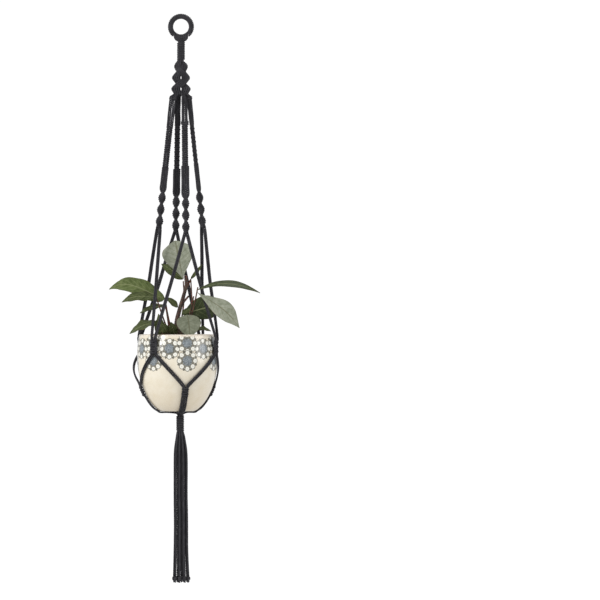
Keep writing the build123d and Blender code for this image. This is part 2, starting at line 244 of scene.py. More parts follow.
def painted_flowers(n, place, textures, colour, first_column, centre):
    """Paints a flower in every other column: a blue heart, eight round petals and dots between them.

    Returns the new colour and how far each place is from the middle of the nearest petal.
    """
    column, height = place
    wobble, speckle, blotches, blue = textures
    along = n.math("FRACT", n.times(n.minus(column, first_column - 0.5), 0.5))
    x = n.plus(n.times(n.minus(along, 0.5), FLOWER_SPAN), n.times(wobble, 2.4))
    y = n.plus(n.minus(height, centre), n.times(wobble, -2.0))
    reach = n.length(x, y)
    turn = n.times(n.math("ARCTAN2", y, x), PETALS / tau)

    def from_spot(distance, shift):
        """How far a place is from the nearest of the eight spots at that distance from the heart."""
        aside = n.minus(n.math("FRACT", n.plus(turn, shift)), 0.5)
        aside = n.times(aside, tau / PETALS)
        spot_x = n.minus(n.times(reach, n.math("COSINE", aside)), distance)
        return n.length(spot_x, n.times(reach, n.math("SINE", aside)))

    def disc(colour, distance, outer, inner, share, paint):
        return n.mix(n.times(n.span(distance, outer, inner), share), colour, paint)

    petal, outer_dot, inner_dot = from_spot(14.6, 0.5), from_spot(17.4, 0.0), from_spot(11.8, 0.0)
    ground = n.times(n.span(reach, 18.5, 15.5), n.span(speckle, 0.35, 0.6, 0.3, 0.6))
    colour = n.mix(ground, colour, FLOWER_GROUND)
    colour = disc(colour, petal, 5.4, 4.6, 0.85, DARK_LINE)
    colour = disc(colour, outer_dot, 2.5, 1.8, 0.9, DARK_LINE)
    colour = disc(colour, inner_dot, 2.1, 1.5, 0.8, DARK_LINE)
    colour = disc(colour, petal, 4.1, 3.4, 1.0, PETAL_WHITE)
    colour = disc(colour, petal, 1.5, 0.7, 0.4, PETAL_EYE)
    colour = disc(colour, reach, 10.4, 9.8, 0.85, DARK_LINE)
    patchy = n.times(n.times(n.span(reach, 3.0, 8.5), blotches), 0.8)
    return disc(colour, reach, 9.4, 8.8, 1.0, n.mix(patchy, blue, DARK_LINE)), petal


def glaze_material():
    """A cream glaze with a painted band of daisy-like flowers in fourteen columns below the rim."""
    n = Nodes("cream_glaze")
    column, height, _ = n.split(n.coords("glaze"))
    wobble = n.minus(n.noise(n.coords(), 160.0, 2.0), 0.5)
    mottle = n.noise(n.coords(), 45.0, 4.0, 0.6)
    speckle = n.noise(n.coords(), 420.0, 3.0, 0.7)
    colour = n.ramp(mottle, (0.25, (0.75, 0.67, 0.51)), (0.5, (0.81, 0.74, 0.60)), (0.78, (0.86, 0.81, 0.69)))
    colour = n.mix(n.span(height, -655.0, -719.0, 0.0, 0.35), colour, (0.74, 0.60, 0.40))
    colour = n.mix(n.span(speckle, 0.62, 0.72, 0.0, 0.45), colour, (0.47, 0.36, 0.23))
    band = n.times(n.span(height, -618.0, -612.0), n.span(height, -587.2, -588.4))
    colour = n.mix(n.times(band, 0.30), colour, (0.50, 0.44, 0.34))
    streaks = n.noise(n.coords(), 900.0, 2.0)
    ink, slate, mist = (0.07, 0.085, 0.10), (0.20, 0.235, 0.26), (0.42, 0.46, 0.47)
    blue = n.ramp(streaks, (0.36, ink), (0.5, slate), (0.66, mist))
    blotches = n.span(n.noise(n.coords(), 330.0, 2.0), 0.46, 0.58)

    petals = []
    for first_column, centre in ((0, -608.0), (1, -597.5), (1, -630.0)):
        textures = (wobble, speckle, blotches, blue)
        colour, petal = painted_flowers(n, (column, height), textures, colour, first_column, centre)
        petals.append(petal)
    nearest = n.math("MINIMUM", petals[0], n.math("MINIMUM", petals[1], petals[2]))
    lip = n.span(height, -586.2, -585.0)
    colour = n.mix(lip, colour, n.ramp(speckle, (0.3, (0.60, 0.50, 0.38)), (0.6, (0.80, 0.74, 0.63))))
    relief = n.times(n.span(nearest, 4.6, 2.6), 0.5)
    n.bump(n.plus(relief, n.times(mottle, 0.25)), 0.0006, 0.7)
    return n.set(
        Base_Color=colour,
        Roughness=n.span(speckle, 0.3, 0.75, 0.16, 0.34),
        Coat_Weight=0.55,
        Coat_Roughness=0.08,
        Specular_IOR_Level=0.5,
    )


def soil_material():
    n = Nodes("potting_mix")
    crumbs = n.noise(n.coords(), 420.0, 5.0, 0.7)
    dust, crumb, fibre = (0.012, 0.009, 0.006), (0.045, 0.032, 0.022), (0.13, 0.095, 0.062)
    colour = n.ramp(crumbs, (0.3, dust), (0.52, crumb), (0.72, fibre))
    n.bump(crumbs, 0.0012, 0.9)
    return n.set(Base_Color=colour, Roughness=0.93, Specular_IOR_Level=0.2)


def bark_material():
    n = Nodes("bark_chips")
    grain = n.noise(n.stretch(n.coords(), (240.0, 700.0, 700.0)), 1.0, 4.0, 0.65)
    dark, brown, pale = (0.022, 0.013, 0.008), (0.085, 0.050, 0.030), (0.20, 0.13, 0.085)
    colour = n.ramp(grain, (0.3, dark), (0.55, brown), (0.75, pale))
    n.bump(grain, 0.0006, 0.8)
    return n.set(Base_Color=colour, Roughness=0.85, Specular_IOR_Level=0.25)


def stem_material(name, low, middle, high):
    n = Nodes(name)
    grain = n.noise(n.stretch(n.coords(), (260.0, 260.0, 60.0)), 1.0, 3.0)
    colour = n.ramp(grain, (0.3, low), (0.5, middle), (0.72, high))
    n.bump(grain, 0.0004, 0.5)
    return n.set(Base_Color=colour, Roughness=0.5, Subsurface_Weight=0.08, Specular_IOR_Level=0.4)


def leaf_material(name, dark, light, rib, vein_share, gloss):
    """A leaf's face: paler along its midrib and side veins, mottled between them, and dry at its edge."""
    n = Nodes(name)
    along, across, _ = n.split(n.coords("leaf"))
    aside = n.math("ABSOLUTE", across)
    mottle = n.noise(n.coords(), 130.0, 4.0, 0.6)
    fine = n.noise(n.coords(), 1300.0, 2.0)
    tone = n.plus(n.times(mottle, 0.8), n.times(fine, 0.2))
    colour = n.ramp(tone, (0.3, dark), (0.7, light))
    slant = n.minus(n.times(along, 8.0), n.times(aside, 2.1))
    between = n.math("ABSOLUTE", n.minus(n.math("FRACT", slant), 0.5))
    side_vein = n.times(n.span(between, 0.075, 0.02), n.span(aside, 0.95, 0.55))
    middle = n.span(aside, 0.075, 0.025)
    veins = n.math("MAXIMUM", middle, n.times(side_vein, vein_share))
    colour = n.mix(n.times(veins, 0.72), colour, rib)
    edge = n.times(n.span(aside, 0.93, 0.99), n.span(mottle, 0.45, 0.6, 0.15, 0.7))
    colour = n.mix(edge, colour, (0.16, 0.11, 0.05))
    puff = n.minus(n.span(between, 0.0, 0.5, 0.0, 0.6), n.times(middle, 0.8))
    n.bump(n.plus(puff, n.times(fine, 0.08)), 0.0007, 0.65)
    return n.set(
        Base_Color=colour,
        Roughness=n.span(mottle, 0.3, 0.7, gloss, gloss + 0.14),
        Specular_IOR_Level=0.08,
    )


cord_look = cord_material()
steel_look = steel_material()
glaze_look = glaze_material()
soil_look = soil_material()
bark_look = bark_material()
red_stem_look = stem_material("red_stem", (0.022, 0.011, 0.007), (0.055, 0.030, 0.019), (0.11, 0.075, 0.048))
RIB, UNDER_RIB = (0.25, 0.27, 0.14), (0.20, 0.19, 0.11)
GREY_RIB, SHADED_RIB = (0.15, 0.145, 0.08), (0.12, 0.12, 0.07)
under_look = leaf_material("leaf_underside", (0.20, 0.22, 0.16), (0.33, 0.35, 0.28), UNDER_RIB, 0.9, 0.55)
leaf_looks = {
    "grey": leaf_material("leaf_grey_green", (0.18, 0.20, 0.14), (0.36, 0.375, 0.30), GREY_RIB, 0.85, 0.5),
    "shaded": leaf_material("leaf_shaded", (0.12, 0.135, 0.09), (0.235, 0.25, 0.185), SHADED_RIB, 0.85, 0.5),
    # painted light: the olive leaf face made about two thirds brighter, for a leaf that the light falls on
    "lit_olive": leaf_material("leaf_olive_lit", (0.050, 0.072, 0.020), (0.160, 0.195, 0.075), RIB, 0.7, 0.42),
    # painted shade: the olive leaf face darkened to about two thirds, for leaves that lie in shade
    "shaded_olive": leaf_material("leaf_olive_shaded", (0.020, 0.029, 0.012), (0.060, 0.075, 0.032), RIB, 0.35, 0.42),
    "olive": leaf_material("leaf_olive", (0.032, 0.042, 0.014), (0.095, 0.115, 0.045), RIB, 0.55, 0.42),
}


# ---------------------------------------------------------------- mesh helpers
def bearing(angle):
    return np.array((cos(radians(angle)), sin(radians(angle)), 0.0))


def beside(angle):
    return bearing(angle + 90)


UP = np.array((0.0, 0.0, 1.0))


def unit(vector):
    return vector / np.linalg.norm(vector)


def smooth(points, step=1.25):
    """Points at about that step along a smooth line through the ones given."""
    points = np.asarray(points, float)
    ends = np.vstack((2 * points[0] - points[1], points, 2 * points[-1] - points[-2]))
    line = []
    for a, b, c, d in zip(ends, ends[1:], ends[2:], ends[3:]):
        count = max(1, round(np.linalg.norm(c - b) / step))
        t = (np.arange(count) / count)[:, None]
        square = (a - 2.5 * b + 2 * c - d / 2) * t**2
        cube = (1.5 * (b - c) + (d - a) / 2) * t**3
        line.append(b + (c - a) * t / 2 + square + cube)
    return np.vstack((*line, points[-1:]))


def make_object(name, vertices, faces, materials, uv_name=None, uvs=None, face_materials=None):
    """A mesh object from vertices in millimetres."""
    mesh = bpy.data.meshes.new(name)
    mesh.from_pydata((np.asarray(vertices) * MM).tolist(), [], faces)
    if uvs is not None:
        layer = mesh.uv_layers.new(name=uv_name)
        layer.data.foreach_set("uv", np.asarray(uvs, np.float32).ravel())
    for material in materials:
        mesh.materials.append(material)
    if face_materials is not None:
        mesh.polygons.foreach_set("material_index", np.asarray(face_materials, np.int32))
    mesh.polygons.foreach_set("use_smooth", [True] * len(mesh.polygons))
    mesh.update()
    item = bpy.data.objects.new(name, mesh)
    bpy.context.scene.collection.objects.link(item)
    return item


SIDES = 12  # of a cord's section
CORD_LAY = 11.5  # the length of cord in which its plies turn once
UV_LENGTH = 10  # the length of cord that one unit of V covers


def carried_normals(tangents):
    """Normals that go along a line without spinning round it."""
    normal = unit(np.cross(tangents[0], UP if abs(tangents[0][2]) < 0.9 else (1.0, 0.0, 0.0)))
    normals = []
    for tangent in tangents:
        normal = unit(normal - tangent * normal.dot(tangent))
        normals.append(normal)
    return np.array(normals)


def tube_faces(count, run):
    """Faces and UVs of a tube of that many rings, closed with a point at each end."""
    row, side = np.meshgrid(np.arange(count - 1), np.arange(SIDES), indexing="ij")
    row, side = row.ravel(), side.ravel()
    this_ring, next_ring, following = row * SIDES, (row + 1) * SIDES, (side + 1) % SIDES
    quads = np.stack((this_ring + side, this_ring + following, next_ring + following, next_ring + side), 1)
    turn, next_turn = side / SIDES, (side + 1) / SIDES
    along, next_along = run[row] / UV_LENGTH, run[row + 1] / UV_LENGTH
    corners = (turn, along, next_turn, along, next_turn, next_along, turn, next_along)
    faces, uvs = quads.tolist(), [np.stack(corners, 1).reshape(-1, 2)]
    first, last, base = count * SIDES, count * SIDES + 1, (count - 1) * SIDES
    for i in range(SIDES):
        j = (i + 1) % SIDES
        faces.append((first, j, i))
        faces.append((last, base + i, base + j))
        uvs.append(np.array(((i / SIDES, -0.1), ((i + 1) / SIDES, 0.0), (i / SIDES, 0.0))))
        end_corners = np.array(((i / SIDES, 0.1), (i / SIDES, 0.0), ((i + 1) / SIDES, 0.0)))
        uvs.append(end_corners + (0, run[-1] / UV_LENGTH))
    return faces, np.vstack(uvs)


def tube(points, radius, plies=3, groove=0.12, spin=0.0):
    """One cord along a line: its vertices, faces and UVs. The section turns as it goes, so its plies wind."""
    points = np.asarray(points, float)
    steps = np.linalg.norm(np.diff(points, axis=0), axis=1)
    run = np.concatenate(((0.0,), np.cumsum(steps)))
    tangents = np.gradient(points, axis=0)
    tangents /= np.linalg.norm(tangents, axis=1)[:, None]
    normals = carried_normals(tangents)
    binormals = np.cross(tangents, normals)
    around = np.arange(SIDES) * tau / SIDES
    turned = around[None, :] + run[:, None] * (tau / CORD_LAY) + spin
    sizes = np.broadcast_to(np.asarray(radius, float), (len(points),))[:, None]
    sizes = sizes * (1 - groove * (1 - np.cos(plies * around)) / 2)[None, :]
    spokes = np.cos(turned)[..., None] * normals[:, None] + np.sin(turned)[..., None] * binormals[:, None]
    rings = points[:, None] + spokes * sizes[..., None]
    reach = float(np.mean(sizes)) * 0.45
    caps = np.array((points[0] - tangents[0] * reach, points[-1] + tangents[-1] * reach))
    faces, uvs = tube_faces(len(points), run)
    return np.vstack((rings.reshape(-1, 3), caps)), faces, uvs


def joined(parts):
    """Several tubes as one set of vertices, faces and UVs."""
    vertices, faces, uvs, start = [], [], [], 0
    for part_vertices, part_faces, part_uvs in parts:
        vertices.append(part_vertices)
        faces += [[start + i for i in face] for face in part_faces]
        uvs.append(part_uvs)
        start += len(part_vertices)
    return np.vstack(vertices), faces, np.vstack(uvs)


def cords(name, lines, nodes, body=None, radius=CORD / 2):
    """A piece of cords along lines, which stands for those CAD nodes. With no body it is left unattached."""
    parts = []
    for i, line in enumerate(lines):
        line, size = line if isinstance(line, tuple) else (line, radius)
        parts.append(tube(line, size, spin=i * 1.3))
    vertices, faces, uvs = joined(parts)
    piece = make_object(name, vertices, faces, [cord_look], "cord", uvs)
    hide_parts(*nodes)
    if body:
        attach(piece, body)
    return piece


def lay_out(origin, across, out, down):
    """Turns places across, out of and down a band of knots into points."""
    return lambda x, y, s: origin + np.outer(x, across) + np.outer(y, out) + np.outer(s, down)


def square_band(place, knots, length=KNOT, half_width=4.6, filler=1.45, worker=1.62):
    """A band of square knots: one worker crosses before the two fillers and one behind, back and forth."""
    halves = 2 * knots
    t = np.linspace(0, halves, halves * 9 + 1)
    middle = np.sin(pi * t) ** 2
    down = length / 2 * (t + 0.62 * np.sin(tau * t) / tau)
    x = half_width * np.cos(pi * t)
    crossing = 2.15  # how far a worker stands off the fillers where it crosses them
    front = place(x, crossing * middle - 0.5 * (1 - middle), down)
    behind = place(-x, -crossing * middle + 0.95 * (1 - middle), down)
    past = 1.2  # how far the fillers run on past the knots
    straight = np.linspace(-past, halves * length / 2 + past, halves * 3 + 3)
    still = np.zeros_like(straight)
    fillers = [place(still + side * filler, still, straight) for side in (-1, 1)]
    return [(front, worker), (behind, worker), (fillers[0], worker - 0.07), (fillers[1], worker - 0.07)]


def spiral_band(place, first_turn):
    """A spiral of half knots: two workers wind the same way round two fillers, and the whole band turns."""
    t = np.linspace(0, SPIRAL_KNOTS, SPIRAL_KNOTS * 9 + 1)
    down = SPIRAL_STEP * t
    band = np.radians(first_turn + SPIRAL_TURN * t)
    lines = []
    for start in (0, pi):
        x, y = 5.7 * np.cos(pi * t + start), 1.5 * np.sin(pi * t + start)
        across = x * np.cos(band) - y * np.sin(band)
        out = x * np.sin(band) + y * np.cos(band)
        lines.append((place(across, out, down), 1.8))
    for side in (-1, 1):
        lines.append((place(side * 1.95 * np.cos(band), side * 1.95 * np.sin(band), down), 2.0))
    return lines


def tie_loop(place, turns, across, out, rise, count):
    """A cord wound round a flat band."""
    t = np.linspace(0, turns * tau, count)
    return place(across * np.cos(t), out * np.sin(t), rise * t / tau)


def helix(centre_x, top, bottom):
    """A cord wound round an upright bundle."""
    turns = (top - bottom - CORD) / WRAP_PITCH
    t = np.linspace(0, turns * tau, int(turns * 28))
    height = top - CORD / 2 - WRAP_PITCH * t / tau
    return np.stack((centre_x + WRAP_LINE * np.cos(t), WRAP_LINE * np.sin(t), height), 1)


def pack_round(centre_x):
    """Sixteen places in a bundle, seen from above."""
    centre = np.array((centre_x, 0.0))
    places = [centre]
    for radius, count, turn in ((2.05, 5, 0), (4.1, 10, 9)):
        places += [centre + radius * bearing(turn + 360 / count * i)[:2] for i in range(count)]
    return places


# ---------------------------------------------------------------- ring, head loops and neck
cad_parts["ring_core"].data.materials.clear()
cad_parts["ring_core"].data.materials.append(steel_look)


def ring_point(turn, out, front):
    """A point beside the ring's core: turn is from the ring's lowest point, out is away from its centre."""
    reach = RING_RADIUS + out
    return (reach * sin(turn), front, RING_CENTRE - reach * cos(turn))


WRAP_TURNS = 33
WRAP_FROM, WRAP_TO = 44, 316  # degrees from the ring's lowest point, which the head loops cover
WRAP_OFF, LOOP_OFF = 3.5, 3.9  # from the middle of the core to the winding and to the head loops
wrap_line = []
for share in np.linspace(0, 1, WRAP_TURNS * 18):
    wind = share * WRAP_TURNS * tau
    turn = radians(WRAP_FROM + (WRAP_TO - WRAP_FROM) * share)
    wrap_line.append(ring_point(turn, WRAP_OFF * cos(wind), WRAP_OFF * sin(wind)))
cords("ring_wrap_cord", [(np.array(wrap_line), 1.7)], ["ring_wrap"], "ring")

# Each head loop comes up at the back, goes over the ring's lowest stretch and down at the front.
LOOP_END = -49.0
loop_lines = []
bundle = sorted(pack_round(0.0), key=lambda place: (round(place[1] / 2.5), place[0]))
for i in range(8):
    turn = radians(-40 + 80 / 7 * i)
    winds = np.radians((-90, -60, -30, 0, 30, 60, 90))
    around = [ring_point(turn, -LOOP_OFF * cos(wind), -LOOP_OFF * sin(wind)) for wind in winds]
    (front_x, front_y), (back_x, back_y) = bundle[i], bundle[i + 8]
    knee = 0.8 * around[0][0]
    line = [(back_x, back_y, LOOP_END), (back_x, back_y + 0.4, NECK_TOP - 0.5)]
    line += [(knee, 4.6, SWING_HEIGHT - 3.6), *around, (knee, -4.6, SWING_HEIGHT - 3.6)]
    line += [(front_x, front_y - 0.4, NECK_TOP - 0.5), (front_x, front_y, LOOP_END)]
    loop_lines.append((smooth(line), 1.75))
loops = cords("head_loops_cord", loop_lines, ["head_loops"])
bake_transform(loops)

INNER_STRAND = 1.3  # the radius of strands that a wrapping hides
cords("neck_wrap_cord", [helix(0.0, NECK_TOP + 0.8, NECK_BOTTOM)], ["neck_wrap"], "hanger")
strands = [smooth([(x, y, NECK_TOP - 1), (x, y, NECK_BOTTOM - 1.5)]) for x, y in pack_round(0.0)]
cords("neck_strands_cord", strands, ["neck_strands"], "hanger", INNER_STRAND)


# ---------------------------------------------------------------- legs
def on_leg(name, height):
    start, angle = LEGS[name][:2]
    top = np.array((*start, LEG_TOP))
    foot = bearing(angle) * LEG_FOOT_RADIUS + np.array((0, 0, LEG_FOOT))
    return top + (foot - top) * ((height - LEG_TOP) / (LEG_FOOT - LEG_TOP))


def leg_axes(name, turn):
    """Across, out of and down a leg's flat side."""
    down = unit(on_leg(name, LEG_FOOT) - on_leg(name, LEG_TOP))
    flat = bearing(turn)
    across = unit(flat - down * flat.dot(down))
    return across, np.cross(across, down), down


def leg_row(name, height, turn, offsets):
    across = leg_axes(name, turn)[0]
    return [on_leg(name, height) + across * x for x in offsets]


# Places across a leg's flat side: as they lie freely, as knots hold them, and as they hang between knots
FAN = (-1.5 * PITCH, -0.5 * PITCH, 0.5 * PITCH, 1.5 * PITCH)
TIED = (-4.5, -1.65, 1.65, 4.5)
HANGING = (-4.65, -1.55, 1.55, 4.65)
MIDDLE_TIE = (-2.9, -1.1, 1.1, 2.9)
MIDDLE_FULLNESS = {"left": 1.0, "front": 1.16, "right": 1.0, "back": 1.22}  # how loosely each leg hangs there
seed = Random(7)


def slack(points, amount):
    """The same line with its inner points moved a little, as real cords lie."""
    moved = [p + np.array([seed.uniform(-amount, amount) for _ in range(3)]) for p in points[1:-1]]
    return [points[0], *moved, points[-1]]


# Crown: two bundles of eight cords that cross at each pinch and part round an eye between.
CROWN_CORD = 1.75
CROWN_LEVELS = (-88.0, -108.6, -129.6)  # the widest place of each lobe
CROWN_PINCHES = (-98.4, -120.2)  # where the two bundles cross
CROWN_LOBES = ((1.6, 2.9), (3.3, 3.6), (3.6, 3.9))  # innermost cord from the middle, and from cord to cord
CROWN_EDGES = (0.0, *CROWN_PINCHES, -200.0)  # heights between which each of the three pieces lies
SHOULDER = 4.2  # above and below a lobe's widest place, where its cords turn in


def crown_line(side, column, layer, start, end):
    """One cord's way from the neck through the crown's three lobes to the top of its leg.

    The side is that of its first lobe, the column is its place in the bundle from left to right, and the
    layer is -1 in front and 1 behind.
    """
    front = side < 0
    lean = -0.9 if front else 0.9
    depth = 1.75 * layer
    shift = column - 1.5 + 0.25 * layer
    line = [(*start, NECK_BOTTOM + 1.5)]
    for lobe, (inner, gap) in enumerate(CROWN_LOBES):
        level = CROWN_LEVELS[lobe]
        middle = side * (inner + 1.5 * gap)
        line.append((middle * 0.80 + shift * gap * 0.95, depth * 1.25 + lean, level + SHOULDER))
        line.append((middle + shift * gap, depth, level))
        line.append((middle * 0.82 + shift * gap * 0.96, depth * 1.2, level - SHOULDER))
        if lobe < len(CROWN_PINCHES):
            crossing = (-3.4 if front else 3.4) + 1.6 * layer
            line.append((shift * 2.2, crossing, CROWN_PINCHES[lobe] + shift * 2.3 * -side))
            side = -side
    line.append((side * (1.7 + 1.5 * 3.3) + shift * 3.3, 1.7 * layer, -138.6))
    line.append(tuple(end))
    return smooth(line)


crown_ends = []
for name in LEGS:
    crown_ends += leg_row(name, LEG_TOP - 1.0, CROWN_TURNS[name], FAN)
side_ends = {-1: crown_ends[0:4] + crown_ends[12:16], 1: crown_ends[4:12]}
crown_lines = [[], [], []]
for side, ends in side_ends.items():
    starts = sorted(pack_round(0.0), key=lambda place: -side * place[0])[:8]
    ends = sorted(ends, key=lambda point: point[0])
    for index, (start, end) in enumerate(zip(starts, ends)):
        line = crown_line(side, index // 2, 1 if index % 2 else -1, start, end)
        for lobe, (high, low) in enumerate(zip(CROWN_EDGES, CROWN_EDGES[1:])):
            inside = np.where((line[:, 2] <= high + 0.7) & (line[:, 2] >= low - 0.7))[0]
            crown_lines[lobe].append((line[inside[0]: inside[-1] + 1], CROWN_CORD))
for name, height in (("left", -145.4), ("right", -144.6)):
    place = lay_out(on_leg(name, height), *leg_axes(name, CROWN_TURNS[name]))
    crown_lines[2].append((tie_loop(place, 1.25, 6.2, 3.1, 2.6, 40), 1.5))
for lines, label in zip(crown_lines, ("upper", "middle", "lower")):
    cords(f"crown_{label}_cord", lines, [f"crown_knot_{label}"], "hanger")

spiral_length = SPIRAL_KNOTS * SPIRAL_STEP
for name, (_, _, knots_top, count, spiral_top, turn) in LEGS.items():
    knots_bottom = knots_top - count * KNOT
    spiral_bottom = spiral_top - spiral_length

    lines = []
    starts = leg_row(name, LEG_TOP, CROWN_TURNS[name], FAN)
    for start, end in zip(starts, leg_row(name, knots_top - 1.0, turn, TIED)):
        ways = [start + (end - start) * share for share in (0, 0.2, 0.4, 0.6, 0.8, 1)]
        lines.append((smooth(slack(ways, 0.35)), 1.76))
    if name == "front":
        place = lay_out(on_leg(name, knots_top + 1.5), *leg_axes(name, turn))
        lines.append((tie_loop(place, 2, 6.1, 3.4, 3.0, 60), 1.55))
    cords(f"{name}_upper_cord", lines, [f"{name}_upper_strands"], "hanger")

    place = lay_out(on_leg(name, knots_top), *leg_axes(name, turn))
    length = np.linalg.norm(on_leg(name, knots_bottom) - on_leg(name, knots_top)) / count
    cords(f"{name}_square_knots_cord", square_band(place, count, length), [f"{name}_square_knots"], "hanger")

    lines = []
    fullness = MIDDLE_FULLNESS[name]
    hanging = [offset * fullness for offset in HANGING]
    starts = leg_row(name, knots_bottom + 1.0, turn, hanging)
    ends = leg_row(name, spiral_top + 5.0, turn, hanging)
    ties = leg_row(name, spiral_top - 3.5, 90, MIDDLE_TIE)
    for start, end, tie in zip(starts, ends, ties):
        ways = [start + (end - start) * share for share in (0, 0.2, 0.45, 0.7, 1)]
        lines.append((smooth([*slack(ways, 0.12), tie]), 1.88 * fullness))
    cords(f"{name}_middle_cord", lines, [f"{name}_middle_strands"], "hanger")

    across, out, down = leg_axes(name, 0)
    stretch = np.linalg.norm(on_leg(name, spiral_bottom) - on_leg(name, spiral_top)) / spiral_length
    place = lay_out(on_leg(name, spiral_top), across, out, down * stretch)
    cords(f"{name}_spiral_cord", spiral_band(place, 90), [f"{name}_spiral"], "hanger")


# ---------------------------------------------------------------- cradle
def turn_between(start, end):
    return (end - start + 180) % 360 - 180


def pot_point(angle, height, off):
    """The point that stands off the pot's side by that much, and the outward normal there."""
    share = (height - POT_BELLY) / POT_RISE
    out = sqrt(1 - share * share)
    radius = POT_BELLY_RADIUS - POT_REACH * (1 - out)
    normal = unit(bearing(angle) * (out * POT_RISE) + UP * (share * POT_REACH))
    return np.array((POT_X, 0, height)) + bearing(angle) * radius + normal * off, normal


def twisted_pair(centre, start_turn, turns, radius=1.6):
    """Two cords that wind loosely round each other along a line."""
    centre = np.asarray(centre)
    tangents = np.gradient(centre, axis=0)
    tangents /= np.linalg.norm(tangents, axis=1)[:, None]
    first = np.array((1.0, 0.0, 0.0)) - tangents * tangents[:, :1]
    first /= np.linalg.norm(first, axis=1)[:, None]
    second = np.cross(tangents, first)
    a = start_turn + np.linspace(0, turns * tau, len(centre))[:, None]
    aside = (first * np.cos(a) + second * np.sin(a)) * radius
    return [centre + aside, centre - aside]


def spread_from(knot, bearings):
    """Those bearings that are within a quarter turn of a knot's: name, turn from the knot, and its side."""
    turns = [(name, turn_between(knot, angle)) for name, angle in bearings.items()]
    return [(name, turn, 1 if turn > 0 else -1) for name, turn in turns if abs(turn) <= 90]


# Drop strands: a loosely wound pair from each spiral to the collars on either side of it
leg_bearings = {name: leg[1] for name, leg in LEGS.items()}
for name, (_, angle, _, _, spiral_top, _) in LEGS.items():
    spiral_bottom = spiral_top - spiral_length
    lines = []
    for collar, _, side in spread_from(angle, COLLARS):
        collar_angle = COLLARS[collar]
        out = bearing(collar_angle)
        aside = np.zeros(3)
        if name in ("left", "right"):
            aside[0] = -2.2 if sin(radians(collar_angle)) > 0 else 2.2
        start = on_leg(name, spiral_bottom + 4.5) + beside(angle) * side * 0.8 + aside * 0.3
        below = on_leg(name, spiral_bottom - 5.0) + beside(angle) * side * 3.0 + aside
        end = np.array((POT_X, 0, COLLAR_TOP - 1.5)) + out * COLLAR_RADIUS
        end = end - beside(collar_angle) * side * 3.0
        above = end + (below - end) * (9.0 / np.linalg.norm(below - end))
        inner = [below + (above - below) * share for share in (0.25, 0.5, 0.75)]
        inner = slack([below, *inner, above], 0.5)[1:-1]
        inner[-1] = inner[-1] + out * 1.6  # the pair bows outward, clear of the pot's rim
        centre = smooth([start, below, *inner, above + out * 2.6, end + out * 0.8])
        first_turn, turns = seed.uniform(-0.6, -0.2), seed.uniform(0.12, 0.3)
        lines += [(line, 1.88) for line in twisted_pair(centre, first_turn, turns)]
    cords(f"{name}_drop_cord", lines, [f"{name}_drop_strands"], "hanger")


def cradle_pair(start_angle, end_angle, lift):
    """Two strands side by side over the pot. The lift is how far they stand off it in the middle."""
    slope = radians(end_angle - start_angle) * POT_BELLY_RADIUS
    pair = [[], []]
    for share in np.linspace(0, 1, 9):
        height = CRADLE_TOP + (CRADLE_BOTTOM - CRADLE_TOP) * share
        angle = start_angle + (end_angle - start_angle) * share
        if share < 0.5:
            off = CRADLE_START_OFF - (CRADLE_START_OFF - CRADLE_OFF) * min(1, share * 6)
        else:
            off = CRADLE_OFF + max(0, share - 0.85) * 8
        off += lift * sin(pi * min(1, share * 1.05) ** 0.8)
        point, normal = pot_point(angle, height, off)
        along = unit(beside(angle) * slope + UP * (CRADLE_BOTTOM - CRADLE_TOP))
        for line, edge in zip(pair, (-1, 1)):
            line.append(point + np.cross(normal, along) * (edge * 1.9))
    return [(smooth(line), 1.85) for line in pair]


LOOSE_CRADLE = {("back_left", "left"): 6.5}  # the pair that bows away from the pot, and how far
for name, angle in COLLARS.items():
    origin = np.array((POT_X, 0, COLLAR_TOP)) + bearing(angle) * COLLAR_RADIUS
    place = lay_out(origin, beside(angle), bearing(angle), -UP)
    collar = square_band(place, COLLAR_KNOTS, half_width=6.0, filler=1.95, worker=1.95)
    cords(f"{name}_collar_cord", collar, [f"{name}_collar"], "hanger")
    lines = []
    for leg, turn, side in spread_from(angle, leg_bearings):
        lift = LOOSE_CRADLE.get((name, leg), 0)
        lines += cradle_pair(angle + side * 2.5, angle + turn - side * 2.9, lift)
    cords(f"{name}_cradle_cord", lines, [f"{name}_cradle_strands"], "hanger")

for name, angle in leg_bearings.items():
    top, low = (pot_point(angle, YOKE_TOP + shift, YOKE_OFF)[0] for shift in (0.5, -16.3))
    down = unit(low - top)
    place = lay_out(top, beside(angle), np.cross(down, beside(angle)), down)
    step = np.linalg.norm(low - top) / YOKE_KNOTS
    yoke = square_band(place, YOKE_KNOTS, step, half_width=5.2, filler=1.9, worker=1.75)
    cords(f"{name}_yoke_cord", yoke, [f"{name}_yoke"], "hanger")

# Base strands: four from each yoke run under the pot, turn down beside its middle and join the bundle.
lines = []
slots = pack_round(GATHER_X)
free_slots = list(range(len(slots)))
for angle in leg_bearings.values():
    for i, across in enumerate(TIED):
        fan = beside(angle) * (3.15 * (i - 1.5))
        line = [pot_point(angle, YOKE_TOP - 14.5, 3.6)[0] + beside(angle) * across]
        line += [pot_point(angle, height, BASE_OFF)[0] + fan for height in BASE_HEIGHTS]
        for radius, height in ((36.6, -723.0), (32.4, UNDER_POT), (20.0, UNDER_POT)):
            line.append(np.array((POT_X, 0, height)) + bearing(angle) * radius + fan)
        hub = np.array((GATHER_X, 0, UNDER_POT - 1.0 - 0.7 * (i % 2))) + bearing(angle) * 8.2 + fan * 0.55
        nearest = min(free_slots, key=lambda k: np.linalg.norm(slots[k] - hub[:2]))
        free_slots.remove(nearest)
        line += [hub, np.array((*slots[nearest], -731.0)), np.array((*slots[nearest], -737.0))]
        lines.append((smooth(line), 1.6))
base = cords("base_cord", lines, ["base_strands", "base_hub"])
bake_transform(base)


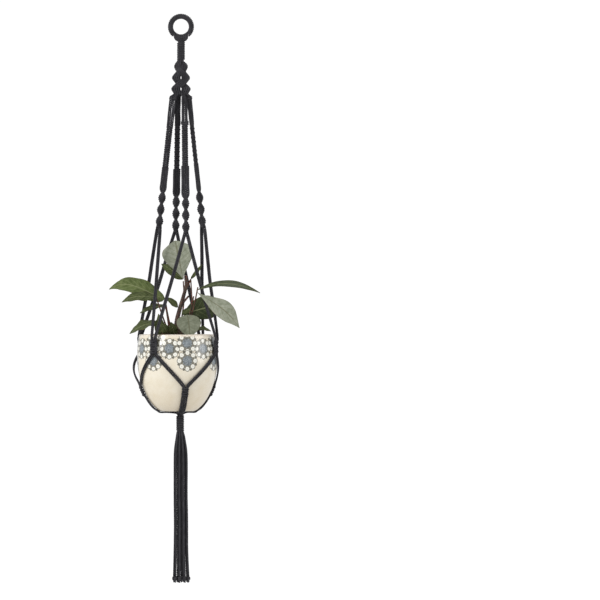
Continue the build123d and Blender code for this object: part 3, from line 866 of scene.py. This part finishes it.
# ---------------------------------------------------------------- gather and tassel
cords("gather_wrap_cord", [helix(GATHER_X, GATHER_TOP + 0.4, GATHER_BOTTOM)], ["gather_wrap"], "gather")
strands = [smooth([(x, y, -735.0), (x, y, GATHER_BOTTOM + 1.0)]) for x, y in slots]
cords("gather_strands_cord", strands, ["gather_strands"], "gather", INNER_STRAND)


def nurbs_line(points):
    """Points in metres along the NURBS curve whose control points are the ones given, in millimetres."""
    curve = bpy.data.curves.new("route", "CURVE")
    curve.dimensions = "3D"
    curve.resolution_u = 22
    spline = curve.splines.new("NURBS")
    spline.points.add(len(points) - 1)
    for target, point in zip(spline.points, points):
        target.co = (*(np.asarray(point) * MM), 1.0)
    spline.order_u = 3
    spline.use_endpoint_u = True
    holder = bpy.data.objects.new("route", curve)
    mesh = bpy.data.meshes.new_from_object(holder)
    line = np.array([vertex.co for vertex in mesh.vertices])
    bpy.data.objects.remove(holder)
    bpy.data.curves.remove(curve)
    bpy.data.meshes.remove(mesh)
    return line


def end_knot(name, end, direction, turn):
    """An overhand knot drawn tight at a strand's end, with the short tail below it."""
    first = unit(np.cross(direction, (0.0, 1.0, 0.0)))
    second = np.cross(direction, first)
    turns, drop = 2.35, 6.4
    t = np.linspace(0, turns, 60)
    swell = 1.78 * np.sin(np.clip(t / turns, 0.06, 0.94) * pi) ** 0.35
    a = turn + t * tau
    spokes = (first * np.cos(a)[:, None] + second * np.sin(a)[:, None]) * swell[:, None]
    coil = end + direction * (1.2 + drop * t / turns)[:, None] + spokes
    lean = (first * cos(turn) + second * sin(turn)) * 0.9
    tail = [end + direction * 8.2 + lean * 0.5, end + direction * 11.4 + lean]
    core = smooth([end - direction * 0.6, end + direction * 4.0, *tail])
    vertices, faces, uvs = joined([tube(coil, 1.5), tube(core, 1.3)])
    piece = make_object(name, vertices, faces, [cord_look], "cord", uvs)
    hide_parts("end_knots")
    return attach(piece, "tassel")


number = 0
for tie, hang, end_radius, count, first in TASSEL_RINGS:
    for i in range(count):
        number += 1
        angle = first + i * 360 / count
        route = []
        for height, spread, parted, sway_x, sway_y in TASSEL_STEPS:
            radius = tie + (hang - tie) * spread + (end_radius - hang) * parted
            route.append(np.array((TASSEL_X + sway_x, sway_y, height)) + bearing(angle) * radius)
        line = nurbs_line(route)
        vertices, faces, uvs = tube(line / MM, CORD / 2 + 0.12, spin=number)
        piece = make_object(f"tassel_cord_{number:02d}", vertices, faces, [cord_look], "cord", uvs)
        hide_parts("tassel_strands")
        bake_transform(piece)
        end = line[-1] / MM
        knot = end_knot(f"tassel_knot_{number:02d}", end, unit(line[-1] - line[-4]), number * 2.1)


# ---------------------------------------------------------------- pot and soil
def revolved(profile, segments):
    """Vertices and faces of a closed form turned about the pot's axis. The profile starts and ends on it."""
    inner = np.array(profile[1:-1])
    angles = np.arange(segments) * tau / segments
    rings = np.stack((
        POT_X + inner[:, None, 0] * np.cos(angles),
        inner[:, None, 0] * np.sin(angles),
        np.broadcast_to(inner[:, None, 1], (len(inner), segments)),
    ), 2).reshape(-1, 3)
    vertices = np.vstack((rings, ((POT_X, 0, profile[0][1]), (POT_X, 0, profile[-1][1]))))
    faces = []
    for row in range(len(inner) - 1):
        this_ring, next_ring = row * segments, (row + 1) * segments
        for i in range(segments):
            j = (i + 1) % segments
            faces.append((this_ring + i, this_ring + j, next_ring + j, next_ring + i))
    low, high, last = len(rings), len(rings) + 1, (len(inner) - 1) * segments
    for i in range(segments):
        j = (i + 1) % segments
        faces.append((low, j, i))
        faces.append((high, last + i, last + j))
    return vertices, faces


def wall(inset, height):
    """The radius of the pot's side at a height, that far inside its outer face."""
    share = (height - POT_BELLY) / (POT_RISE - inset)
    return POT_BELLY_RADIUS - POT_REACH + (POT_REACH - inset) * sqrt(1 - share * share)


def pot_profile():
    """Half a section: under the foot, up the side, over the rounded rim and down to the floor inside."""
    foot, floor, rim = wall(0, POT_FOOT), POT_FOOT + POT_FLOOR, POT_RIM - POT_WALL / 2
    foot_ring = ((-7.0, 1.6), (-5.4, 0.3), (-4.4, 0.0), (-0.9, 0.0), (0.2, 0.5))
    profile = [(0, POT_FOOT + 1.6)] + [(foot + out, POT_FOOT + up) for out, up in foot_ring]
    profile += [(wall(0, height), height) for height in np.linspace(POT_FOOT + 1.6, rim, 76)]
    rim_out, rim_in = wall(0, rim), wall(POT_WALL, rim)
    middle, half = (rim_out + rim_in) / 2, (rim_out - rim_in) / 2
    rounding = np.linspace(0.35, pi - 0.35, 7)
    profile += [(middle + half * cos(a), rim + POT_WALL / 2 * sin(a)) for a in rounding]
    profile += [(wall(POT_WALL, height), height) for height in np.linspace(rim, floor + 0.5, 40)]
    return profile + [(wall(POT_WALL, floor + 0.5) - 2.0, floor), (0, floor)]


def flower_uvs(vertices, faces):
    """For each corner, its flower column round the pot and its height in millimetres."""
    pattern_turn, first = 9.7, 20.5
    uvs = []
    for face in faces:
        corners = []
        for index in face:
            x, y, z = vertices[index]
            degrees = np.degrees(atan2(y, x - POT_X)) + 90 + pattern_turn
            corners.append([degrees / (360 / FLOWER_COLUMNS) + first, z])
        columns = [column for column, _ in corners]
        if max(columns) - min(columns) > FLOWER_COLUMNS / 2:
            for corner in corners:
                corner[0] += FLOWER_COLUMNS if corner[0] < min(columns) + FLOWER_COLUMNS / 2 else 0
        uvs += corners
    return uvs


vertices, faces = revolved(pot_profile(), 224)
pot = make_object("planter_pot", vertices, faces, [glaze_look], "glaze", flower_uvs(vertices, faces))
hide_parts("pot")
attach(pot, "pot")

# Soil: a low mound with small bumps, heaped round the stem.
seed = Random(11)
soil_radius = wall(POT_WALL, SOIL_TOP) - 0.6
bumps = []
for _ in range(90):
    bumps.append((seed.uniform(-60, 60), seed.uniform(-60, 60), seed.uniform(5, 12), seed.uniform(-1.0, 1.6)))


def soil_height(x, y):
    height = SOIL_TOP - 1.2 + 2.4 * (1 - (x * x + y * y) / soil_radius**2)
    height += 17.0 * np.exp(-((x + 8.0) ** 2 / 30.0**2 + (y + 6.0) ** 2 / 24.0**2))
    lifts = (lift * np.exp(-((x - bx) ** 2 + (y - by) ** 2) / size**2) for bx, by, size, lift in bumps)
    return height + sum(lifts) * 0.8


SOIL_SIDES, SOIL_RINGS = 160, 44
soil_bottom = SOIL_TOP - 9
vertices = [(POT_X, 0, soil_height(0, 0))]
for row in range(1, SOIL_RINGS + 1):
    radius = soil_radius * row / SOIL_RINGS
    for i in range(SOIL_SIDES):
        x, y = radius * cos(i * tau / SOIL_SIDES), radius * sin(i * tau / SOIL_SIDES)
        vertices.append((POT_X + x, y, soil_height(x, y) + seed.uniform(-0.35, 0.35)))
for i in range(SOIL_SIDES):
    x, y = (soil_radius - 0.5) * cos(i * tau / SOIL_SIDES), (soil_radius - 0.5) * sin(i * tau / SOIL_SIDES)
    vertices.append((POT_X + x, y, soil_bottom))
vertices.append((POT_X, 0, soil_bottom))
faces = []
for i in range(SOIL_SIDES):
    j = (i + 1) % SOIL_SIDES
    faces.append((0, 1 + i, 1 + j))
    for row in range(SOIL_RINGS):
        a, b = 1 + row * SOIL_SIDES, 1 + (row + 1) * SOIL_SIDES
        faces.append((a + i, b + i, b + j, a + j))
    low = 1 + SOIL_RINGS * SOIL_SIDES
    faces.append((len(vertices) - 1, low + j, low + i))
soil = make_object("potting_soil", vertices, faces, [soil_look])
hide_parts("soil")
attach(soil, "pot")

CHIPS = 300
CHIP_CORNERS = [np.array((x, y, z), float) for x in (-1, 1) for y in (-1, 1) for z in (-1, 1)]
CHIP_FACES = ((0, 1, 3, 2), (4, 6, 7, 5), (0, 4, 5, 1), (2, 3, 7, 6), (0, 2, 6, 4), (1, 5, 7, 3))


def turned(turn, tip, lean):
    """The rotation by a turn about Z, then a tip about X and a lean about Y."""
    about_z = np.array(((cos(turn), -sin(turn), 0), (sin(turn), cos(turn), 0), (0, 0, 1)))
    about_x = np.array(((1, 0, 0), (0, cos(tip), -sin(tip)), (0, sin(tip), cos(tip))))
    about_y = np.array(((cos(lean), 0, sin(lean)), (0, 1, 0), (-sin(lean), 0, cos(lean))))
    return about_z @ about_x @ about_y


vertices, faces = [], []
for _ in range(CHIPS):
    radius, angle = (soil_radius - 6) * sqrt(seed.random()), seed.uniform(0, tau)
    x, y = radius * cos(angle), radius * sin(angle)
    size = np.array((seed.uniform(2.2, 5.4), seed.uniform(1.3, 2.8), seed.uniform(0.6, 1.3)))
    spin = turned(seed.uniform(0, tau), seed.uniform(-0.5, 0.5), seed.uniform(-0.4, 0.4))
    middle = np.array((POT_X + x, y, soil_height(x, y) + size[2] * 0.5))
    faces += [tuple(len(vertices) + i for i in face) for face in CHIP_FACES]
    for corner in CHIP_CORNERS:
        jitter = np.array([seed.uniform(0.6, 1.05) for _ in range(3)])
        vertices.append(middle + spin @ (corner * size * jitter))
chips = make_object("bark_chips", vertices, faces, [bark_look])
bevel = chips.modifiers.new("worn", "BEVEL")
bevel.width, bevel.segments = 0.0004, 2
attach(chips, "pot")


# ---------------------------------------------------------------- plant
def stalk_tube(points, start_radius, end_radius):
    line = smooth(points, 1.6)
    return tube(line, np.linspace(start_radius, end_radius, len(line)), groove=0.05)


STEM_ROUTE = (
    (-7.5, 0, -592.5), (-8.0, 1, -562), (-3, 2, -538), (4, 0, -514), (9.5, -3, -492), (8.5, -4, -474.5)
)
vertices, faces, uvs = joined([
    stalk_tube(STEM_ROUTE, 5.2, 2.9),
    stalk_tube(((-3.2, 2, -539), (2.5, 1, -526), (14.0, -1.5, -511.5)), 2.6, 1.9),
    stalk_tube(((5.0, -1, -511), (10.5, 1.0, -496), (17.5, 2, -481.5)), 2.5, 1.7),
])
stem = make_object("plant_stem", vertices, faces, [red_stem_look], "cord", uvs)
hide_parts("main_stem")
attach(stem, "pot")

# Where each stalk starts, in the soil, and where it ends, at its leaf's base or just behind the leaf
STALKS = (
    ((-14, -4, -591), (-29, -6.5, -517)),
    ((-18, -10, -591), (-44, -23, -516)),
    ((-20, 2, -591), (-28.5, 4, -530)),
    ((-24, -6, -591), (-39, -11, -562.5)),
    ((4, -12, -591), (7.5, -32, -552)),
    ((10, -6, -591), (22.5, 0.5, -532)),
    ((16, -14, -591), (21.5, -20, -573.5)),
    ((1, -14, -591), (24.5, -42, -512)),
    ((7, -19, -591), (32.5, -55.5, -495.5)),
    ((14, 6, -591), (18, 2, -480)),
    ((-7, 12, -591), (4, 12, -484)),
)
stalk_tubes = []
for start, end in STALKS:
    start, end = np.array(start, float), np.array(end, float)
    bow = bearing(seed.uniform(0, 360)) * 0.045 * np.linalg.norm(end - start)
    ways = [start, start + (end - start) * 0.33 + bow * 0.8, start + (end - start) * 0.68 + bow, end]
    stalk_tubes.append(stalk_tube(ways, 1.8, 1.3))
vertices, faces, uvs = joined(stalk_tubes)
petioles = make_object("leaf_stalks_grown", vertices, faces, [red_stem_look], "cord", uvs)
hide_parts("leaf_stalks")
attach(petioles, "pot")


LEAF_ROWS, LEAF_COLUMNS = 40, 18


def leaf_surface(base, tip, width, facing, arch, fold, ripple, widest, fullness, droop, phase):
    """A leaf's middle surface as rows of points from base to tip, and the way that its face looks."""
    length = np.linalg.norm(tip - base)
    along = unit(tip - base)
    flat = unit(facing - along * facing.dot(along))
    side = np.cross(flat, along)
    power = log(0.5) / log(widest)
    surface = np.zeros((LEAF_ROWS + 1, LEAF_COLUMNS + 1, 3))
    for row in range(LEAF_ROWS + 1):
        u = row / LEAF_ROWS
        half = width / 2 * max(sin(pi * u**power), 0.0) ** fullness
        half = max(half * (1 - 0.25 * max(0.0, u - 0.8) / 0.2), 0.5)
        bow = flat * (arch * length * 4 * u * (1 - u))
        hang = UP * (droop * length * u * u * (1 - u) * 4)
        spine = base + along * (length * u) + bow - hang
        flattened = sin(pi * min(1, u * 1.15 + 0.05)) ** 0.5
        for column in range(LEAF_COLUMNS + 1):
            v = 2 * column / LEAF_COLUMNS - 1
            wave = sin(u * 15 + phase + (2.2 if v > 0 else 0))
            lift = fold * half * abs(v) * (1 - 0.35 * abs(v)) + ripple * length * v * v * wave
            surface[row, column] = spine + side * (half * v) + flat * (lift * flattened)
    return surface, flat


def leaf_faces():
    """Faces of a leaf's two skins and its edge, their UVs, and which faces are the underside."""
    stride, offset = LEAF_COLUMNS + 1, (LEAF_ROWS + 1) * (LEAF_COLUMNS + 1)
    faces, uvs, under = [], [], []

    def add(corners, below):
        faces.append([i for i, _, _ in corners])
        uvs.extend([(row / LEAF_ROWS, 2 * column / LEAF_COLUMNS - 1) for _, row, column in corners])
        under.append(int(below))

    for row in range(LEAF_ROWS):
        for column in range(LEAF_COLUMNS):
            quad = [(row, column), (row, column + 1), (row + 1, column + 1), (row + 1, column)]
            add([(r * stride + c, r, c) for r, c in quad], False)
            add([(offset + r * stride + c, r, c) for r, c in reversed(quad)], True)
    edge = [(0, c) for c in range(LEAF_COLUMNS)] + [(r, LEAF_COLUMNS) for r in range(LEAF_ROWS)]
    edge += [(LEAF_ROWS, c) for c in range(LEAF_COLUMNS, 0, -1)] + [(r, 0) for r in range(LEAF_ROWS, 0, -1)]
    for (r1, c1), (r2, c2) in zip(edge, edge[1:] + edge[:1]):
        i, j = r1 * stride + c1, r2 * stride + c2
        add([(j, r2, c2), (i, r1, c1), (offset + i, r1, c1), (offset + j, r2, c2)], False)
    return faces, uvs, under


def leaf(
    base, tip, width, facing, phase, arch=0.10, fold=0.22, ripple=0.035, widest=0.42, fullness=0.72, droop=0.0
):
    """One leaf blade as a closed thin form: vertices, faces, UVs and which faces are its underside.

    The phase shifts its ripple, widest is where along it its width is greatest, a higher fullness makes its
    ends slimmer, and the rest are shares of its length or of its half width.
    """
    base, tip, facing = (np.array(value, float) for value in (base, tip, facing))
    surface, flat = leaf_surface(base, tip, width, facing, arch, fold, ripple, widest, fullness, droop, phase)
    normal = np.cross(np.gradient(surface, axis=1), np.gradient(surface, axis=0))
    normal /= np.maximum(np.linalg.norm(normal, axis=2), 1e-9)[..., None]
    if np.sum(normal[LEAF_ROWS // 2, LEAF_COLUMNS // 2] * flat) < 0:
        normal = -normal
    v = np.linspace(-1, 1, LEAF_COLUMNS + 1)
    thick = (0.22 + 0.28 * (1 - v**6) + 0.35 * np.exp(-((v / 0.07) ** 2)))[None, :, None]
    upper, lower = surface + normal * 0.25, surface - normal * thick
    return np.vstack((upper.reshape(-1, 3), lower.reshape(-1, 3))), *leaf_faces()


# Each leaf piece: what its faces look like, and its blades
LEAVES = {
    "top_leaf": ("grey", [
        dict(
            base=(4, -9, -480), tip=(-11, 4, -409), width=58, facing=(0, -1, 0.2),
            widest=0.66, fold=0.1, ripple=0.015,
        ),
    ]),
    "left_leaf": ("lit_olive", [
        dict(
            base=(-30, -7, -516), tip=(-132, -14, -499), width=35, facing=(0.1, -1, 0.3),
            arch=0.08, droop=-0.20, widest=0.4,
        ),
    ]),
    "left_second_leaf": ("olive", [
        dict(base=(-45, -23.5, -513), tip=(-108, -27, -523), width=20, facing=(0, -1, 0.6), droop=-0.08),
    ]),
    "left_low_leaf": ("olive", [
        dict(base=(-40, -12, -562), tip=(-94, -20, -581), width=31, facing=(-0.3, -0.6, 1), arch=0.12),
    ]),
    "right_long_leaf": ("shaded_olive", [
        dict(
            base=(30, -57, -501), tip=(147, -84, -506), width=23, facing=(0, -0.6, 1),
            arch=0.14, widest=0.5, fullness=0.8, ripple=0.003, fold=0.12,
        ),
    ]),
    "right_pale_leaf": ("grey", [
        dict(
            base=(30, -44, -504), tip=(109, -70, -570), width=34, facing=(0, -1, 0.25),
            arch=0.06, droop=-0.12, widest=0.64, fullness=0.95, ripple=0.012,
        ),
    ]),
    "right_dark_leaf": ("shaded_olive", [
        dict(
            base=(4, 1, -546), tip=(83, 8, -527), width=46, facing=(0, -1, 0.35), widest=0.52, ripple=0.015
        ),
    ]),
    "front_leaf": ("shaded", [
        dict(
            base=(13, -38, -546), tip=(18, -57, -587), width=45, facing=(0.1, -1, 0.6),
            fullness=0.7, ripple=0.02,
        ),
    ]),
    "young_leaves": ("olive", [
        dict(base=(4, 12, -480), tip=(-37, 20, -452), width=20, facing=(0, -1, 0.3)),
        dict(base=(18.5, 2, -479.5), tip=(39, -2, -453), width=7, facing=(0.3, -1, 0.2)),
        dict(base=(-6, -4, -532), tip=(-27, -6, -514), width=12, facing=(0, -1, 0.5)),
        dict(base=(-20, -20, -584), tip=(-35, -26, -561), width=17, facing=(-0.2, -1, 0.3)),
        dict(base=(-11, -22, -584), tip=(-18, -29, -559), width=16, facing=(0.1, -1, 0.4)),
        dict(base=(2, -8, -545), tip=(21, -11, -533), width=10, facing=(0, -1, 0.4)),
        dict(base=(-32, -14, -582), tip=(-41, -17, -544), width=15, facing=(-0.2, -1, 0.1)),
        dict(base=(-38, -50, -584), tip=(-44, -50, -555), width=12, facing=(0, -1, 0.1)),
        dict(base=(-29, 4.5, -529.5), tip=(-76, 2, -543), width=16, facing=(0, -0.8, 1)),
        dict(base=(22.5, -20.5, -573), tip=(56, -30, -576), width=16, facing=(0, -0.5, 1)),
    ]),
}
for label, (look, blades) in LEAVES.items():
    vertices, faces, uvs, under, start = [], [], [], [], 0
    for i, blade in enumerate(blades):
        blade_vertices, blade_faces, blade_uvs, blade_under = leaf(**blade, phase=i * 1.9 + len(label))
        vertices.append(blade_vertices)
        faces += [[start + k for k in face] for face in blade_faces]
        uvs += blade_uvs
        under += blade_under
        start += len(blade_vertices)
    looks = [leaf_looks[look], under_look]
    piece = make_object(f"{label}_blade", np.vstack(vertices), faces, looks, "leaf", uvs, under)
    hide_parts(label)
    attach(piece, "pot")


# ---------------------------------------------------------------- floor, light and camera
def stage_material(name, strength):
    n = Nodes(name)
    cloud = n.noise(n.coords(), 0.6, 2.0)
    return n.set(
        Base_Color=n.ramp(cloud, (0.3, (0.90, 0.90, 0.90)), (0.7, (0.92, 0.92, 0.92))),
        Roughness=0.9,
        Specular_IOR_Level=0.0,
        Emission_Color=(1.0, 1.0, 1.0, 1.0),
        Emission_Strength=strength,
    )


FLOOR_HALF, FLOOR_HEIGHT = 9000, -1350
floor_signs = ((-1, -1), (1, -1), (1, 1), (-1, 1))
floor_corners = [(x * FLOOR_HALF, y * FLOOR_HALF, FLOOR_HEIGHT) for x, y in floor_signs]
floor = make_object("floor", floor_corners, [(0, 1, 2, 3)], [stage_material("pale_floor", 0.40)])

DOME_RADIUS, DOME_ROWS, DOME_SIDES = 13000, 12, 24
corners, quads = [], []
for row in range(DOME_ROWS + 1):
    for i in range(DOME_SIDES):
        a, b = pi * row / DOME_ROWS, tau * i / DOME_SIDES
        corners.append((DOME_RADIUS * sin(a) * cos(b), DOME_RADIUS * sin(a) * sin(b), DOME_RADIUS * cos(a)))
for row in range(DOME_ROWS):
    this_ring, next_ring = row * DOME_SIDES, (row + 1) * DOME_SIDES
    for i in range(DOME_SIDES):
        j = (i + 1) % DOME_SIDES
        quads.append((this_ring + i, this_ring + j, next_ring + j, next_ring + i))
dome = make_object("backdrop", corners, quads, [stage_material("white_backdrop", 0.38)])
for item in (floor, dome):
    item.visible_diffuse = False
    item.visible_glossy = False
    item.visible_shadow = False

world = bpy.data.worlds.new("studio")
bpy.context.scene.world = world
world.use_nodes = True
background = world.node_tree.nodes["Background"]
background.inputs["Color"].default_value = (1.0, 1.0, 1.0, 1.0)
background.inputs["Strength"].default_value = 0.70


LIGHT_TARGET = np.array((0, 0, -0.5))


def area_light(name, place, size, power):
    light = bpy.data.lights.new(name, "AREA")
    light.shape, light.size, light.energy = "DISK", size, power
    item = bpy.data.objects.new(name, light)
    bpy.context.scene.collection.objects.link(item)
    item.location = place
    x, y, z = np.array(place) - LIGHT_TARGET
    item.rotation_euler = (atan2(sqrt(x**2 + y**2), z), 0, atan2(y, x) + pi / 2)


area_light("key_light", (-2.4, -2.0, 0.7), 1.6, 66)
area_light("right_light", (2.6, -0.9, -0.2), 1.6, 20)
area_light("top_light", (0.3, 0.8, 1.6), 1.4, 20)

camera = bpy.data.objects.new("camera", bpy.data.cameras.new("camera"))
bpy.context.scene.collection.objects.link(camera)
bpy.context.scene.camera = camera
camera.data.lens = 250
camera.data.clip_end = 60
camera.location = (0.2196, -7.6875, -0.5187)
camera.rotation_euler = (radians(90), 0, 0)
bpy.context.scene.view_settings.view_transform = "Standard"
